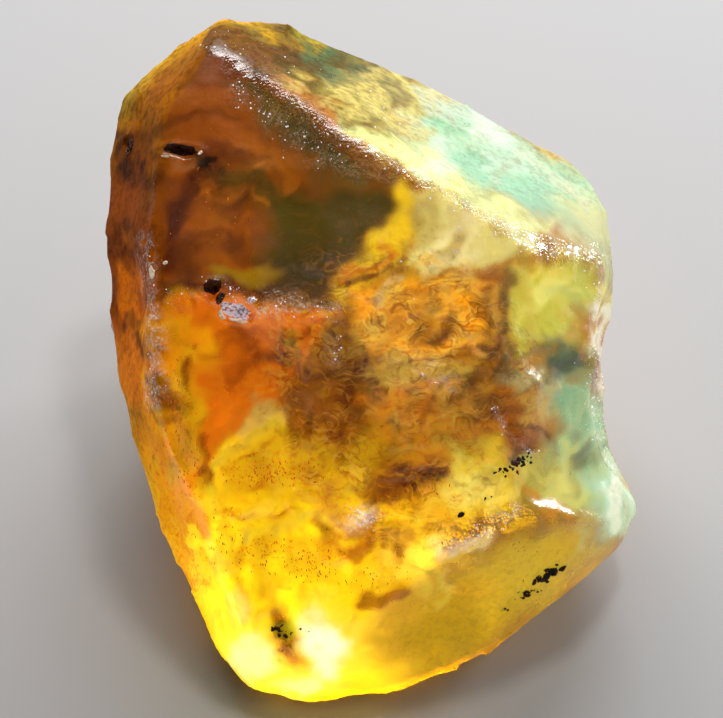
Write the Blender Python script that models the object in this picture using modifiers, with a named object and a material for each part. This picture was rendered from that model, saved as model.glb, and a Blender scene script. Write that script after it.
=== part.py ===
"""A rough lump of amber, broken and worn, lying on its flat underside.

It is one piece, as it formed: a solid with a broad face that leans back from the ground, a ridge
across the top of that face, a steep left flank, a narrow right end with a heel, and shallow
shell-shaped bites where flakes have broken away.

The corners of the broad face are given in the face's own frame, in millimetres: across it, up it
and out of it, from the heart of the lump. LEAN turns that frame as the lump lies. The other corners
are given as the lump lies: x to the right, y to the back and z up, from the same heart.
The finished solid is moved so that the origin is on the ground, under the middle of its box.
"""

import math

import bmesh
import bpy
from mathutils import Vector, noise
from mathutils.bvhtree import BVHTree

MM = 0.001

# Driving dimensions, in millimetres and degrees.
LEAN = 50.0  # how far above level the broad face looks
GROUND = -12.5  # height of the underside below the heart
GRAIN = 0.45  # size of the facets that wear rounds and roughens
WEAR = 7  # passes of smoothing, which round the broken edges to about 1 mm
FACETS = 6000  # triangles of the finished solid
SWELL = 0.35  # rise of the long, low waves of the surface
SWELL_LENGTH = 9.0
RIPPLE = 0.15  # rise of the short waves
RIPPLE_LENGTH = 3.6

# The rim of the broad face, seen square on, clockwise from the crown.
RIM = (
    (-8.8, 20.4, -1.5),
    (-6.3, 20.1, -3.0),
    (-1.4, 18.9, -6.0),
    (3.7, 16.7, -8.0),
    (9.1, 13.4, -8.0),
    (12.6, 12.0, -7.0),
    (13.8, 10.6, -6.0),
    (14.5, 6.4, -3.0),
    (14.5, 3.6, -3.0),
    (15.9, -8.2, -2.0),
    (15.0, -10.9, -1.5),
    (9.5, -13.6, 0.0),
    (6.4, -17.2, 1.0),
    (2.3, -19.3, 1.5),
    (-3.4, -20.3, 1.5),
    (-7.0, -19.2, 1.5),
    (-8.9, -17.2, 1.0),
    (-11.2, -12.8, -0.5),
    (-13.0, -8.1, -1.5),
    (-14.3, -4.1, -2.0),
    (-15.5, 1.9, -3.0),
    (-15.9, 7.4, -4.0),
    (-15.8, 12.7, -5.0),
    (-15.1, 16.0, -5.0),
    (-12.6, 17.9, -4.0),
)
# The ridge across the top of the broad face, from the crown down to the right end.
RIDGE = (
    (-9.0, 18.5, 2.0),
    (-5.7, 16.1, 5.0),
    (-1.7, 13.0, 7.5),
    (1.7, 11.0, 8.5),
    (5.9, 8.4, 8.5),
    (9.0, 6.5, 7.0),
    (13.5, 6.1, 2.0),
)
# The turn from the broad face to the left flank, from the brow down.
LEFT_TURN = (
    (-12.1, 14.5, 2.5),
    (-12.6, 6.4, 4.0),
    (-12.5, 1.8, 4.8),
    (-11.7, -3.3, 5.2),
    (-9.7, -9.0, 5.2),
    (-7.4, -14.8, 5.0),
    (-4.0, -17.0, 5.0),
)
# High points of the broad face, and the lower ridge that ends at the heel.
FACE = (
    (-3.9, 2.3, 9.0),
    (0.6, -3.3, 9.3),
    (6.2, 1.8, 8.6),
    (10.8, 1.2, 5.5),
    (4.8, -10.3, 8.2),
    (9.6, -9.2, 7.0),
    (13.5, -9.1, 4.0),
    (0.6, -15.9, 5.5),
)
# The outline of the underside on the ground, as (x, y), clockwise from the back.
UNDERSIDE = (
    (0.5, 15.0),
    (8.0, 11.5),
    (11.5, 5.0),
    (11.5, -2.0),
    (8.0, -9.0),
    (1.5, -13.5),
    (-4.5, -14.5),
    (-8.5, -10.0),
    (-10.5, -3.0),
    (-11.5, 5.0),
    (-8.0, 12.5),
)
# Corners of the back, as the lump lies.
BACK = (
    (-12.0, 17.0, 2.0),
    (-3.0, 19.0, 1.0),
    (7.0, 17.0, -1.0),
    (-9.5, 17.0, -6.5),
    (3.0, 17.5, -7.0),
    (12.5, 11.0, -5.0),
    (14.0, 3.0, -6.0),
    (-14.5, 8.0, -5.0),
    (-13.5, -1.0, -8.0),
)
# Shell-shaped bites: (a point they lie under, in the face's frame), radius, depth.
BITES = (
    ((-8.0, -2.0, 6.5), 19.0, 1.0),
    ((3.5, 3.0, 8.5), 20.0, 0.8),
    ((5.5, 14.0, 1.0), 26.0, 0.7),
    ((15.0, -2.0, -0.5), 10.5, 2.4),
    ((14.0, -2.5, -8.0), 14.0, 1.8),
    ((3.5, -15.5, 4.0), 24.0, 0.6),
    ((-15.0, 4.0, 0.0), 22.0, 0.7),
    ((11.0, -4.0, 5.5), 14.0, 0.6),
    ((-2.0, 6.0, -17.0), 26.0, 1.3),
    ((-11.0, 9.0, -12.0), 24.0, 0.9),
    ((11.0, 6.0, -12.0), 22.0, 1.0),
)


def as_it_lies(across, up, out):
    """A point of the broad face's frame, in the frame of the lump as it lies."""
    lean = math.radians(LEAN)
    back = up * math.sin(lean) - out * math.cos(lean)
    height = up * math.cos(lean) + out * math.sin(lean)
    return Vector((across, back, height))


def corners():
    """Every corner of the lump, in millimetres from its heart."""
    found = [as_it_lies(*point) for point in RIM + RIDGE + LEFT_TURN + FACE]
    found += [Vector((x, y, GROUND)) for x, y in UNDERSIDE]
    found += [Vector(point) for point in BACK]
    return found


def new_object(name, body, collection):
    """A scene object that holds the bmesh body."""
    mesh = bpy.data.meshes.new(name)
    body.to_mesh(mesh)
    body.free()
    made = bpy.data.objects.new(name, mesh)
    collection.objects.link(made)
    return made


def settled(obj):
    """Replaces an object's mesh by the result of its modifiers."""
    graph = bpy.context.evaluated_depsgraph_get()
    old = obj.data
    obj.data = bpy.data.meshes.new_from_object(obj.evaluated_get(graph))
    obj.modifiers.clear()
    bpy.data.meshes.remove(old)


def thinned(lump):
    """Merges facets where the skin is nearly flat, down to the number that the finished solid has."""
    lump.data.calc_loop_triangles()
    merging = lump.modifiers.new("facets", "DECIMATE")
    merging.ratio = FACETS / len(lump.data.loop_triangles)
    settled(lump)


def broken_block(collection):
    """The lump with flat sides and sharp corners: the tight skin round all its corners."""
    body = bmesh.new()
    for point in corners():
        body.verts.new(point * MM)
    made = bmesh.ops.convex_hull(body, input=body.verts)
    loose = set(made["geom_interior"]) | set(made["geom_unused"])
    bmesh.ops.delete(body, geom=[v for v in loose if isinstance(v, bmesh.types.BMVert)], context="VERTS")
    bmesh.ops.recalc_face_normals(body, faces=body.faces)
    return new_object("amber_lump", body, collection)


def bite(lump, number, toward, radius, depth, cutters):
    """Takes a shell-shaped flake off the lump, where a line from its heart towards a point comes out."""
    graph = bpy.context.evaluated_depsgraph_get()
    skin = BVHTree.FromObject(lump, graph)
    hit, normal, _, _ = skin.ray_cast(Vector(), as_it_lies(*toward).normalized())
    body = bmesh.new()
    bmesh.ops.create_icosphere(body, subdivisions=4, radius=radius * MM)
    cutter = new_object(f"bite_{number}", body, cutters)
    cutter.location = hit + normal * (radius - depth) * MM
    cutter.hide_render = True
    cutter.display_type = "WIRE"
    cut = lump.modifiers.new(cutter.name, "BOOLEAN")
    cut.object = cutter
    cut.operation = "DIFFERENCE"


def wear(lump):
    """Breaks the flat sides into even facets and rounds the edges."""
    grain = lump.modifiers.new("grain", "REMESH")
    grain.mode = "VOXEL"
    grain.voxel_size = GRAIN * MM
    rounding = lump.modifiers.new("rounding", "SMOOTH")
    rounding.factor = 0.5
    rounding.iterations = WEAR


def wave(point, length, start):
    """Smooth noise from -1 to 1 whose waves have the given length, at a point in millimetres."""
    return noise.noise(point / length + Vector((start, start, start)))


def roughen(lump):
    """Gives the skin its long swells and short ripples."""
    mesh = lump.data
    for vertex in mesh.vertices:
        point = vertex.co / MM
        rise = SWELL * wave(point, SWELL_LENGTH, 4.7) + RIPPLE * wave(point, RIPPLE_LENGTH, 11.3)
        vertex.co += vertex.normal * rise * MM


def set_on_ground(lump):
    """Cuts the underside flat and puts the origin on it, under the middle of the lump's box."""
    body = bmesh.new()
    body.from_mesh(lump.data)
    level = Vector((0, 0, (GROUND + SWELL) * MM))
    everything = body.verts[:] + body.edges[:] + body.faces[:]
    bmesh.ops.bisect_plane(body, geom=everything, plane_co=level, plane_no=(0, 0, 1), clear_inner=True)
    rim = [edge for edge in body.edges if edge.is_boundary]
    bmesh.ops.contextual_create(body, geom=rim)
    low = Vector([min(v.co[i] for v in body.verts) for i in range(3)])
    high = Vector([max(v.co[i] for v in body.verts) for i in range(3)])
    middle = (low + high) / 2
    bmesh.ops.translate(body, verts=body.verts, vec=(-middle.x, -middle.y, -low.z))
    body.to_mesh(lump.data)
    body.free()


def amber():
    """Clear, warm amber: a little rough where it is worn."""
    material = bpy.data.materials.new("amber")
    material.use_nodes = True
    shader = material.node_tree.nodes["Principled BSDF"]
    shader.inputs["Base Color"].default_value = (0.82, 0.42, 0.06, 1)
    shader.inputs["Roughness"].default_value = 0.25
    shader.inputs["Metallic"].default_value = 0.0
    shader.inputs["IOR"].default_value = 1.54
    shader.inputs["Transmission Weight"].default_value = 0.8
    return material


def main():
    for old in list(bpy.data.objects):
        bpy.data.objects.remove(old)
    parts = bpy.data.collections.new("rough amber")
    cutters = bpy.data.collections.new("cutters")
    bpy.context.scene.collection.children.link(parts)
    bpy.context.scene.collection.children.link(cutters)
    lump = broken_block(parts)
    for number, (toward, radius, depth) in enumerate(BITES):
        bite(lump, number, toward, radius, depth, cutters)
    wear(lump)
    bpy.context.view_layer.update()
    settled(lump)
    roughen(lump)
    thinned(lump)
    set_on_ground(lump)
    lump.data.shade_smooth()
    lump.data.materials.append(amber())


main()
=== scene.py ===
"""A rough lump of blue amber on a pale floor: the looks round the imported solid.

Everything is worked in millimetres and turned to metres where a mesh is made. Places on the lump
are given as the eye of the camera meets them: how far to the right of the lump's middle and how
far above it, on an upright sheet through that middle that faces the camera.
"""

import math
import random

import bmesh
import bpy
import numpy as np
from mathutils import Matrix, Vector, noise
from mathutils.bvhtree import BVHTree


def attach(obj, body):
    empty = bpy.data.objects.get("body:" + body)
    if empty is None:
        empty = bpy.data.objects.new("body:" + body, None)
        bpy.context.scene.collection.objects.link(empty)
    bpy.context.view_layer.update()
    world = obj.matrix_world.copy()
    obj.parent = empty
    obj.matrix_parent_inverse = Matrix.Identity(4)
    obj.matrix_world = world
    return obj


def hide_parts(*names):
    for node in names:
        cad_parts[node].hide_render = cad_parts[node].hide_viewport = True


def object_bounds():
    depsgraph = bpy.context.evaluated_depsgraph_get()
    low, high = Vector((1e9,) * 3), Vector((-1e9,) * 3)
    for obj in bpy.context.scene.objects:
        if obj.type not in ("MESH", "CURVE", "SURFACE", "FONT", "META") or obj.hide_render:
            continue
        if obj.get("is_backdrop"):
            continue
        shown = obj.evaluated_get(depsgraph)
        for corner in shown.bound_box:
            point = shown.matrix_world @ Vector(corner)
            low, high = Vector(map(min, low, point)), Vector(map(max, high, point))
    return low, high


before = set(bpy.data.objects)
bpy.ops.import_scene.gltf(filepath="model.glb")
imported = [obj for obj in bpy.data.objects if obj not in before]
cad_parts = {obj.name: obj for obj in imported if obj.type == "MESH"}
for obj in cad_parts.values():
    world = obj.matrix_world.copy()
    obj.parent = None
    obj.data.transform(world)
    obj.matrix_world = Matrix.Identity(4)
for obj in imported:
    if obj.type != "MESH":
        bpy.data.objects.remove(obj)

MM = 0.001
cad_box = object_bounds()

# Camera. The broad face of the lump leans back, and the eye looks square on to it from above and
# in front, far enough away for a long lens.
LOOK_DOWN = math.radians(50)
EYE_AWAY = 200.0
LENS = 170
AIM_RIGHT = -0.40
AIM_UP = -1.41
MIDDLE = (cad_box[0] + cad_box[1]) / 2 / MM
RIGHT = Vector((1, 0, 0))
UP = Vector((0, math.sin(LOOK_DOWN), math.cos(LOOK_DOWN)))
TO_EYE = Vector((0, -math.cos(LOOK_DOWN), math.sin(LOOK_DOWN)))
EYE = MIDDLE + TO_EYE * EYE_AWAY


def as_object(name, data):
    """Puts a mesh, lamp or camera into the scene as an object."""
    made = bpy.data.objects.new(name, data)
    bpy.context.scene.collection.objects.link(made)
    return made


camera = as_object("camera", bpy.data.cameras.new("camera"))
bpy.context.scene.camera = camera
camera.data.lens = LENS
camera.data.clip_start = 0.01
camera.location = (EYE + RIGHT * AIM_RIGHT + UP * AIM_UP) * MM
camera.rotation_mode = "QUATERNION"
camera.rotation_quaternion = (-TO_EYE).to_track_quat("-Z", "Y")


# The lump. One piece of fossil resin, broken from a larger mass: flakes have sprung off all its
# sides and left shallow shells with crisp edges between them, the edges and the left flank are
# worn dull, and the middle of the broad face is hackly where small chips came away.
# The spacing of the points of its skin.
GRAIN = 0.216
# Noise vectors start from the clock unless they are given a seed.
NOISE_SEED = 4
noise.seed_set(NOISE_SEED)


def smooth(low, high, value):
    """0 below low, 1 above high and an even ramp between, for arrays."""
    t = np.clip((value - low) / (high - low), 0, 1)
    return t * t * (3 - 2 * t)


def sheet_place(points):
    """Where the eye meets each point: right and up on the upright sheet."""
    away = points - np.array(MIDDLE)
    spread = EYE_AWAY / (EYE_AWAY - away @ np.array(TO_EYE))
    return away @ np.array(RIGHT) * spread, away @ np.array(UP) * spread


def field(points, size, start=0.0):
    """Noise from -1 to 1 at each point, with features of the given size in millimetres."""
    shift = Vector((start, start * 1.7, start * 0.6))
    return np.array([noise.noise(Vector(p) / size + shift) for p in points])


def seen_at(x, y, skin):
    """Where the eye meets a skin at a place on the sheet, in metres, and which way it looks there."""
    heading = (MIDDLE + RIGHT * x + UP * y - EYE).normalized()
    return skin.ray_cast(EYE * MM, heading)[0], heading


def broken(points, size, bowl, tilt, start):
    """The rise of a skin broken all over into scars of one size, each a shallow tilted bowl."""
    rise = np.empty(len(points))
    shift = Vector((start, start * 1.7, start * 0.6))
    for index, point in enumerate(points):
        spot = Vector(point) / size + shift
        spot += noise.noise_vector(spot * 1.3) * 0.25
        gaps, seeds = noise.voronoi(spot)
        lean = noise.noise_vector(seeds[0] * 7.3)
        rise[index] = bowl * (gaps[0] * gaps[0] - 0.25) + tilt * lean.dot(spot - seeds[0])
    return rise


def line_gap(x, y, line):
    """The distance from places on the sheet to a broken line there."""
    best = np.full(len(x), 1e9)
    for (ax, ay), (bx, by) in zip(line, line[1:]):
        dx, dy = bx - ax, by - ay
        t = np.clip(((x - ax) * dx + (y - ay) * dy) / (dx * dx + dy * dy), 0, 1)
        best = np.minimum(best, np.hypot(x - ax - t * dx, y - ay - t * dy))
    return best


def inside(x, y, outline):
    """Whether places on the sheet lie inside an outline there."""
    crossed = np.zeros(len(x), bool)
    for (ax, ay), (bx, by) in zip(outline, outline[1:] + outline[:1]):
        beside = (ay > y) != (by > y)
        crossed ^= beside & (x < ax + (y - ay) * (bx - ax) / (by - ay if by != ay else 1))
    return crossed


# Scars of the broad face: outline on the sheet, depth, width of the slope inside the outline.
SCOOP = (
    (-12.3, 1.9), (-9.2, 2.6), (-6.8, 1.9), (-2.0, 1.3), (-2.7, -0.6),
    (-4.6, -3.3), (-7.8, -5.7), (-10.3, -9.0), (-11.9, -5.6), (-12.4, -1.5),
)
WINDOW = (
    (-6.2, 9.2), (-4.0, 10.0), (-1.4, 9.5), (1.7, 8.5), (2.0, 7.0), (1.0, 5.0),
    (-1.1, 2.6), (-1.7, 1.9), (-6.2, 2.0), (-6.9, 4.3), (-7.1, 7.0),
)
BROW = (
    (-14.4, 13.1), (-9.6, 16.4), (-7.2, 14.2), (-4.0, 11.3), (-2.2, 10.0), (-6.2, 9.3),
    (-7.3, 7.0), (-7.1, 4.3), (-6.6, 2.6), (-11.9, 2.9), (-12.2, 7.9),
)
FACET = ((2.6, 8.4), (6.0, 6.8), (9.0, 5.0), (8.0, 3.4), (5.1, 3.6), (2.4, 4.3))
COLUMN = ((8.4, 4.5), (11.2, 4.5), (13.9, 4.3), (13.9, 0.3), (11.2, -0.6), (8.6, -0.3), (7.9, 2.0))
HOLLOW = ((8.9, -1.0), (11.2, -0.6), (13.0, -1.5), (12.7, -3.3), (10.3, -2.9), (8.8, -2.3))
CHEEK = (
    (7.7, -4.7), (10.3, -7.0), (13.6, -6.2), (14.0, -8.5),
    (13.6, -10.8), (11.2, -10.5), (8.9, -9.7), (7.7, -7.3),
)
TOE = (
    (6.0, -13.5), (8.9, -11.7), (13.6, -12.5), (11.2, -14.9),
    (7.7, -17.9), (3.0, -19.9), (0.7, -17.9), (3.0, -14.9),
)
SHELL = ((-1.4, 0.3), (1.9, 2.0), (6.5, 2.6), (7.7, -0.3), (7.1, -3.8), (3.6, -3.8), (0.1, -3.2))
DIP = ((-0.5, -3.8), (3.6, -4.4), (7.1, -5.0), (6.5, -7.9), (3.0, -9.7), (-0.5, -9.7), (-1.7, -6.7))
FOOT = ((-8.4, -11.4), (-4.6, -8.5), (-1.4, -10.8), (-1.1, -14.9), (-4.6, -16.1), (-7.5, -14.9))
FACE_SCARS = (
    (SCOOP, 0.55, 1.5),
    (WINDOW, 0.16, 2.6),
    (BROW, 0.14, 2.4),
    (FACET, 0.16, 1.6),
    (COLUMN, 0.24, 2.0),
    (HOLLOW, 0.40, 1.5),
    (CHEEK, 0.42, 1.3),
    (TOE, 0.14, 2.4),
    (SHELL, 0.10, 2.4),
    (DIP, 0.12, 2.0),
    (FOOT, 0.25, 1.5),
)
# Scars all over, large to small: size, depth of the bowl, tilt, start of the noise.
SCARS = ((7.0, 0.90, 0.35, 3.1), (2.6, 0.30, 0.28, 7.7), (0.95, 0.10, 0.16, 1.3))
# The hackly middle of the broad face: its place on the sheet, how round it is, and its soft edge.
HACKLY_MIDDLE = (1.8, -3.4)
HACKLY_ROUND = (1.05, 1.15)
HACKLY_EDGE = (9.5, 6.0)
# Soft edges of the other zones, right or up on the sheet: where each starts and where it is full.
FOOT_TOP = (-8.0, -11.0)
FOOT_RIGHT = (3.0, 0.0)
FLANK_RIGHT = (-10.8, -13.2)
CROWN_BOTTOM = (6.0, 9.0)
WORN_CREST = (-9.0, -5.5)
# Pits: middle on the sheet, half width, half height, depth.
PITS = (
    ((-11.0, 10.8), 1.15, 0.42, 0.45),
    ((-9.1, 2.7), 0.60, 0.55, 0.70),
    ((-7.7, 1.4), 1.00, 0.65, 0.50),
    ((-14.1, 11.0), 0.25, 0.7, 0.35),
)
RIDGE = (
    (-9.6, 17.0), (-5.8, 14.8), (-1.7, 11.7), (1.9, 10.0),
    (6.2, 7.2), (8.9, 5.4), (11.2, 4.9), (13.9, 4.7),
)
LEDGE = ((-12.2, 2.0), (-9.3, 2.6), (-6.9, 2.0), (-4.6, 1.5), (-2.2, 1.3))
LOWER_RIDGE = ((4.0, -12.0), (6.5, -11.2), (8.6, -10.2), (11.0, -11.3), (15.0, -11.0))
CHIPPED = ((RIDGE, 1.0), (LEDGE, 1.0), (LOWER_RIDGE, 0.5))
LEFT_TURN = ((-13.1, 5.6), (-12.9, 2.6), (-12.5, 0.3), (-12.5, -3.8))
# Frosted places: line on the sheet, half width, strength. Their white is partly the frosted resin's
# own colour and partly painted highlight: along the ledge, the left turn, the ridge's right end and
# the right edge it stands in for glints.
FROSTED = (
    (LEFT_TURN, 0.5, 0.75),
    (((-6.6, 1.4), (-4.6, 1.7), (-2.2, 1.6)), 0.35, 0.8),
    (((-7.8, 14.2), (-6.6, 13.4), (-4.6, 11.8), (-3.2, 10.6), (-1.4, 9.8), (1.8, 9.2)), 0.6, 0.45),
    (((7.3, -4.2), (8.0, -5.9), (9.8, -7.0)), 0.18, 1.0),
    (((4.8, -12.4), (6.2, -12.0), (8.6, -10.2)), 0.45, 0.9),
    (((9.0, 5.4), (11.2, 4.9), (13.9, 4.7)), 0.3, 0.7),
    (((-0.6, -10.9), (-0.3, -10.5)), 0.55, 1.0),
    (((13.9, 4.4), (13.5, 0.0), (13.2, -4.0), (14.0, -7.4), (14.8, -9.8)), 0.35, 0.9),
    (((-2.2, -0.6), (-1.9, -1.6)), 0.35, 0.6),
)


def soft_inside(x, y, outline, soft):
    """1 well inside an outline on the sheet and 0 well outside, over a band of the width soft."""
    gap = line_gap(x, y, outline + outline[:1])
    return smooth(-soft / 2, soft / 2, np.where(inside(x, y, outline), gap, -gap))


def rgb(red, green, blue):
    """A colour from screen values of 0 to 255."""
    return tuple((v / 255) ** 2.2 for v in (red, green, blue)) + (1.0,)


# The resin's own two colours, in wide clouds, and mottling seen on the sides and back: colour, size,
# start of the noise, from, to, strength.
HONEY = ((250, 180, 20), (252, 212, 45))
BACK_TINTS = (
    ((205, 110, 6), 4.5, 45.0, 0.05, 0.45, 0.60),
    ((170, 170, 70), 3.6, 51.0, 0.15, 0.45, 0.45),
    ((140, 72, 8), 2.2, 55.0, 0.25, 0.55, 0.40),
)
# Colours that run deep: middle on the sheet, size, soft edge, colour, strength.
DEEP = (
    ((-3.0, -15.0), 6.5, 6.0, (255, 218, 14), 1.0),
    ((6.5, -15.0), 5.5, 3.0, (195, 165, 10), 0.95),
    ((-9.0, 10.0), 7.0, 4.0, (190, 95, 4), 0.9),
    ((-14.0, 5.0), 4.8, 3.0, (165, 75, 4), 0.95),
    ((-12.6, -5.0), 2.5, 4.0, (235, 130, 8), 0.8),
    ((13.5, 7.0), 4.0, 3.0, (205, 240, 160), 0.9),
    ((13.2, 0.5), 1.6, 2.0, (240, 240, 110), 0.9),
    ((14.5, -9.5), 2.4, 3.0, (215, 240, 150), 0.9),
)
# Colours under the broad face: outline on the sheet, soft edge, colour, strength, painted glow.
GREEN_BAND = (
    (-8.0, 14.5), (-6.2, 15.0), (-4.0, 13.0), (-1.4, 10.8), (1.9, 8.8),
    (-0.2, 9.1), (-2.8, 8.8), (-4.9, 11.4), (-7.5, 13.5),
)
OLIVE_WINDOW = (
    (-8.0, 9.4), (-6.0, 8.6), (-4.4, 8.9), (-2.5, 8.5), (-1.1, 9.1), (1.0, 8.5), (2.1, 7.9), (1.7, 6.4),
    (0.7, 5.3), (-1.1, 3.5), (-2.5, 2.3), (-4.6, 1.9), (-6.2, 2.2), (-6.6, 4.2), (-5.7, 6.2), (-7.0, 7.8),
)
GOLDEN_RIM = (
    (1.9, 9.0), (2.7, 8.2), (2.4, 6.2), (1.6, 4.8), (-0.6, 2.6), (-2.0, 1.7),
    (-2.6, 2.2), (-1.4, 3.5), (0.3, 5.5), (1.2, 6.8), (1.0, 8.3),
)
KHAKI_FACET = (
    (2.6, 8.2), (3.6, 8.3), (6.0, 7.1), (9.2, 5.3), (8.2, 4.0),
    (6.0, 3.6), (4.2, 3.7), (2.7, 4.2), (2.4, 6.4),
)
ORANGE_FLAME = (
    (-1.1, 2.6), (2.2, 3.4), (6.0, 3.2), (7.4, 2.4), (6.5, 0.0),
    (5.0, -2.0), (2.0, -2.9), (0.0, -1.0), (-1.0, 1.0),
)
DARK_CRESCENT = ((1.5, 1.1), (2.6, 0.5), (3.9, 0.4), (5.0, 1.0), (4.4, -0.3), (2.6, -0.4))
DARK_STREAK = ((8.7, 3.4), (8.2, 2.0), (8.0, 0.2), (7.6, 1.6), (8.0, 3.2))
DARK_STREAK_LEFT = ((7.1, 2.4), (6.7, 1.0), (6.2, -0.2), (6.2, 1.2), (6.6, 2.2))
LEMON_COLUMN = ((8.9, 4.4), (13.9, 4.4), (13.9, 0.4), (12.0, -0.6), (10.0, -0.6), (8.3, -1.4), (8.4, 1.5))
TEAL_HOLLOW = (
    (7.6, -1.4), (9.4, -0.7), (11.4, -0.3), (12.8, -0.8), (12.8, -2.4), (11.2, -3.0), (8.6, -2.7),
)
PEACH_PATCH = ((8.4, -3.2), (11.2, -3.4), (11.0, -5.2), (9.4, -5.0))
MINT_CHEEK = (
    (10.6, -3.0), (12.2, -2.6), (13.8, -3.4), (14.4, -7.9), (13.8, -10.4), (12.4, -9.4), (11.6, -8.4),
    (10.2, -7.6), (10.0, -6.2), (11.2, -5.4), (10.6, -4.6),
)
OLIVE_DOME = ((8.4, -8.0), (10.4, -6.8), (12.8, -6.9), (13.2, -10.0), (9.4, -10.0))
AMBER_CRESCENT = ((9.4, -10.2), (11.0, -10.9), (12.6, -10.2), (11.0, -10.2))
LEMON_LOW = ((4.6, -6.8), (7.4, -6.2), (8.4, -8.0), (8.4, -10.4), (5.2, -10.4), (4.0, -8.6))
GREEN_UNDER = ((-0.2, -2.4), (2.4, -3.0), (5.6, -2.4), (7.2, -3.4), (6.4, -5.6), (4.0, -4.2), (0.6, -3.8))
BROWN_WASH = (
    (-4.6, -2.6), (-1.8, -0.3), (-0.6, -1.2), (0.1, -5.0), (-1.1, -6.9), (-4.0, -5.6), (-4.9, -4.6),
)
BROWN_HEARTH = ((-0.7, -8.6), (0.6, -7.4), (3.4, -7.0), (4.6, -8.4), (3.6, -9.8), (0.8, -10.0))
YELLOW_LEAF = ((-9.9, -9.1), (-7.5, -5.0), (-5.2, -4.1), (-4.8, -4.9), (-6.9, -7.0), (-8.6, -9.4))
MINT_SHOULDER = (
    (3.0, 14.2), (7.7, 12.4), (11.2, 10.6), (14.6, 8.6), (14.4, 5.0), (11.2, 6.2),
    (8.4, 7.6), (6.0, 8.6), (3.4, 10.2), (2.0, 11.6),
)
STRAW_STRIP = (
    (-1.6, 12.6), (1.4, 11.6), (3.4, 10.6), (6.2, 8.8), (8.6, 7.5),
    (11.0, 6.3), (9.0, 5.6), (6.2, 7.2), (2.0, 9.9), (-1.4, 11.6),
)
KHAKI_SHOULDER = (
    (-8.6, 18.6), (-2.0, 17.4), (3.0, 15.0), (1.6, 11.6), (-1.4, 12.4), (-4.0, 14.4), (-7.6, 16.6),
)
BROW_LOW = ((-12.4, 9.0), (-9.0, 9.4), (-6.4, 8.4), (-5.4, 6.2), (-5.8, 3.2), (-9.0, 3.4), (-12.2, 3.2))
TOE_TIP = ((5.6, -13.4), (9.4, -11.6), (13.4, -11.4), (13.6, -13.0), (10.0, -15.6), (7.0, -16.4))
TIP = ((13.0, -7.8), (14.4, -7.4), (15.8, -9.6), (15.4, -11.8), (13.4, -11.2))
RIGHT_END = ((11.4, 8.4), (14.8, 8.2), (14.8, 4.6), (11.8, 5.6))
LEFT_HIGH = ((-15.6, 12.0), (-13.2, 12.4), (-12.8, 4.0), (-15.6, 4.0))
LEFT_MIDDLE = ((-15.4, 4.0), (-12.8, 4.0), (-12.2, -1.0), (-12.4, -3.4), (-15.0, -3.4))
LEFT_LOW = ((-13.4, -2.0), (-11.6, -2.0), (-10.0, -8.0), (-8.0, -14.0), (-10.6, -15.0), (-12.6, -9.0))
FACE_TINTS = (
    (BROW, 3.0, (200, 118, 0), 0.95, 0.05),
    (BROW_LOW, 2.4, (150, 76, 0), 0.9, 0.00),
    (SCOOP, 1.6, (250, 116, 0), 0.85, 0.50),
    (GREEN_BAND, 1.6, (84, 112, 66), 0.95, 0.07),
    (OLIVE_WINDOW, 2.2, (64, 84, 4), 1.0, 0.02),
    (GOLDEN_RIM, 1.0, (250, 218, 10), 0.95, 0.62),
    (KHAKI_FACET, 1.2, (220, 224, 128), 0.95, 0.74),
    (ORANGE_FLAME, 1.6, (255, 162, 0), 1.0, 0.74),
    (DARK_CRESCENT, 0.8, (110, 88, 15), 0.8, 0.02),
    (DARK_STREAK, 0.9, (125, 128, 34), 0.7, 0.12),
    (DARK_STREAK_LEFT, 0.9, (150, 130, 34), 0.5, 0.12),
    (LEMON_COLUMN, 1.6, (222, 234, 66), 0.95, 0.44),
    (TEAL_HOLLOW, 1.2, (54, 124, 84), 0.95, 0.36),
    (PEACH_PATCH, 1.6, (222, 195, 88), 0.9, 0.42),
    (MINT_CHEEK, 2.2, (150, 232, 175), 1.0, 0.38),
    (OLIVE_DOME, 1.8, (208, 215, 85), 0.9, 0.40),
    (LEMON_LOW, 1.8, (240, 225, 40), 0.9, 0.52),
    (TOE, 3.0, (202, 170, 0), 0.95, 0.43),
    (TOE_TIP, 3.0, (214, 184, 34), 0.9, 0.55),
    (TIP, 1.6, (184, 242, 204), 0.95, 0.58),
    (AMBER_CRESCENT, 0.5, (250, 180, 20), 0.9, 0.25),
    (GREEN_UNDER, 1.2, (140, 124, 8), 0.9, 0.02),
    (BROWN_WASH, 1.4, (150, 100, 18), 0.85, 0.08),
    (BROWN_HEARTH, 1.4, (165, 100, 10), 0.85, 0.00),
    (LEFT_HIGH, 2.0, (176, 84, 0), 0.85, 0.18),
    (LEFT_MIDDLE, 3.0, (226, 106, 0), 0.9, 0.38),
    (LEFT_LOW, 3.0, (252, 158, 0), 0.95, 0.66),
    (YELLOW_LEAF, 1.0, (255, 214, 22), 0.9, 0.92),
    (MINT_SHOULDER, 2.2, (158, 222, 178), 1.0, 0.30),
    (RIGHT_END, 2.0, (232, 240, 150), 0.85, 0.34),
    (STRAW_STRIP, 1.3, (230, 248, 150), 0.95, 0.56),
    (KHAKI_SHOULDER, 2.4, (104, 112, 44), 0.95, 0.06),
)
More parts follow.
